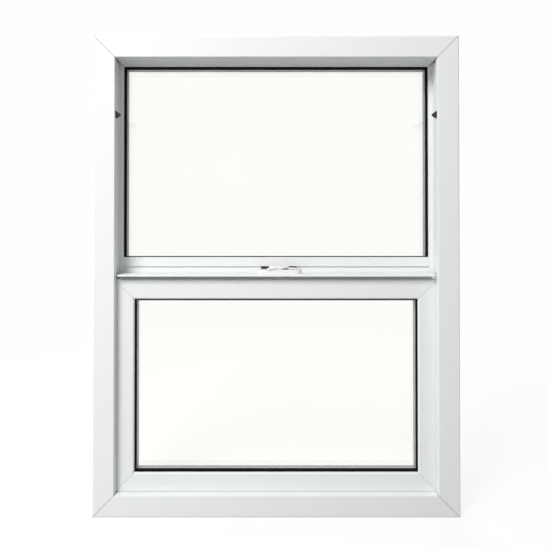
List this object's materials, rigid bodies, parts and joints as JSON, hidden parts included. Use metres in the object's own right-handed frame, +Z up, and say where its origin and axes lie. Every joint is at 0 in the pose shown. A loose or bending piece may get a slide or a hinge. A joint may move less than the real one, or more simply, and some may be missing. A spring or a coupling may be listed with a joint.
{
  "type": "sash window",
  "caption": "White vinyl single-hung sash window in its mitred frame: fixed upper light, sliding lower sash with lift lip and cam lock, insulated glass, hidden coil balances.",
  "frame": {"origin": "middle of the underside of the sill, at mid depth of the frame", "axes": "+X to the right as seen from the room, +Y from the room to the outside, +Z up"},
  "size_m": [0.61, 0.083, 0.8],
  "materials": {
    "vinyl": "smooth satin extruded white vinyl",
    "glass": "clear float glass",
    "gasket": "matt black",
    "spacer": "satin mill finish",
    "edge_sealant": "matt black",
    "glazing_tape": "matt dark foam",
    "setting_block": "matt",
    "stop_plastic": "moulded, matt black",
    "pile": "woven pile",
    "bulb_seal": "soft matt",
    "lock_paint": "white enamel on a casting",
    "screw_white": "white painted heads",
    "screw_steel": "zinc plated",
    "spring_steel": "rolled strip",
    "balance_plastic": "moulded grey",
    "cast_zinc": "as cast",
    "stiffener_alloy": "mill finish"
  },
  "bodies": {
    "frame": {"balance_housing_left": "balance_plastic", "balance_housing_right": "balance_plastic", "balance_ribbon_left": "spring_steel", "balance_ribbon_right": "spring_steel", "balance_screws": "screw_steel", "fixed_meeting_rail": "vinyl", "frame_head": "vinyl", "frame_jamb_left": "vinyl", "frame_jamb_right": "vinyl", "frame_sill": "vinyl", "meeting_rail_pile": "pile", "meeting_rail_screws": "screw_steel", "meeting_rail_stiffener": "stiffener_alloy", "sash_stop_left": "stop_plastic", "sash_stop_right": "stop_plastic", "track_cover_left": "vinyl", "track_cover_right": "vinyl", "upper_bead_head": "vinyl", "upper_bead_left": "vinyl", "upper_bead_rail": "vinyl", "upper_bead_right": "vinyl", "upper_edge_seal": "edge_sealant", "upper_gasket": "gasket", "upper_pane_inner": "glass", "upper_pane_outer": "glass", "upper_setting_blocks": "setting_block", "upper_spacer": "spacer", "upper_tape": "glazing_tape"},
    "sash": {"balance_shoe_left": "balance_plastic", "balance_shoe_right": "balance_plastic", "lock_base": "lock_paint", "lock_screws": "screw_white", "pivot_bar_left": "cast_zinc", "pivot_bar_right": "cast_zinc", "sash_bead_bottom": "vinyl", "sash_bead_left": "vinyl", "sash_bead_right": "vinyl", "sash_bead_top": "vinyl", "sash_bottom_rail": "vinyl", "sash_bottom_seal": "bulb_seal", "sash_edge_seal": "edge_sealant", "sash_gasket": "gasket", "sash_lift_rail": "vinyl", "sash_pane_inner": "glass", "sash_pane_outer": "glass", "sash_pile_left": "pile", "sash_pile_right": "pile", "sash_setting_blocks": "setting_block", "sash_spacer": "spacer", "sash_stiffener": "stiffener_alloy", "sash_stile_left": "vinyl", "sash_stile_right": "vinyl", "sash_tape": "glazing_tape", "sash_top_rail": "vinyl"},
    "lock": {"lock_lever": "lock_paint", "lock_cam": "lock_paint"},
    "coil_left": {"balance_coil_left": "spring_steel"},
    "coil_right": {"balance_coil_right": "spring_steel"}
  },
  "joints": [
    {"name": "sash_slide", "type": "slide", "parent": "frame", "child": "sash", "axis": [0, 0, 1], "range_m": [0, 0.262], "deforming": ["balance_ribbon_left", "balance_ribbon_right"]},
    {"name": "lock_turn", "type": "hinge", "parent": "sash", "child": "lock", "pos_m": [0.005, -0.0115, 0.4078], "axis": [0, 0, -1], "range_deg": [0, 120]},
    {"name": "coil_left_turn", "type": "hinge", "parent": "frame", "child": "coil_left", "pos_m": [-0.2905, -0.0115, 0.4575], "axis": [0, 1, 0], "range_deg": [-1600, 0]},
    {"name": "coil_right_turn", "type": "hinge", "parent": "frame", "child": "coil_right", "pos_m": [0.2905, -0.0115, 0.4575], "axis": [0, 1, 0], "range_deg": [0, 1600]}
  ],
  "couplings": [
    {"joint": "coil_left_turn", "follows": "sash_slide", "rad_per_m": -105.26},
    {"joint": "coil_right_turn", "follows": "sash_slide", "rad_per_m": 105.26}
  ]
}
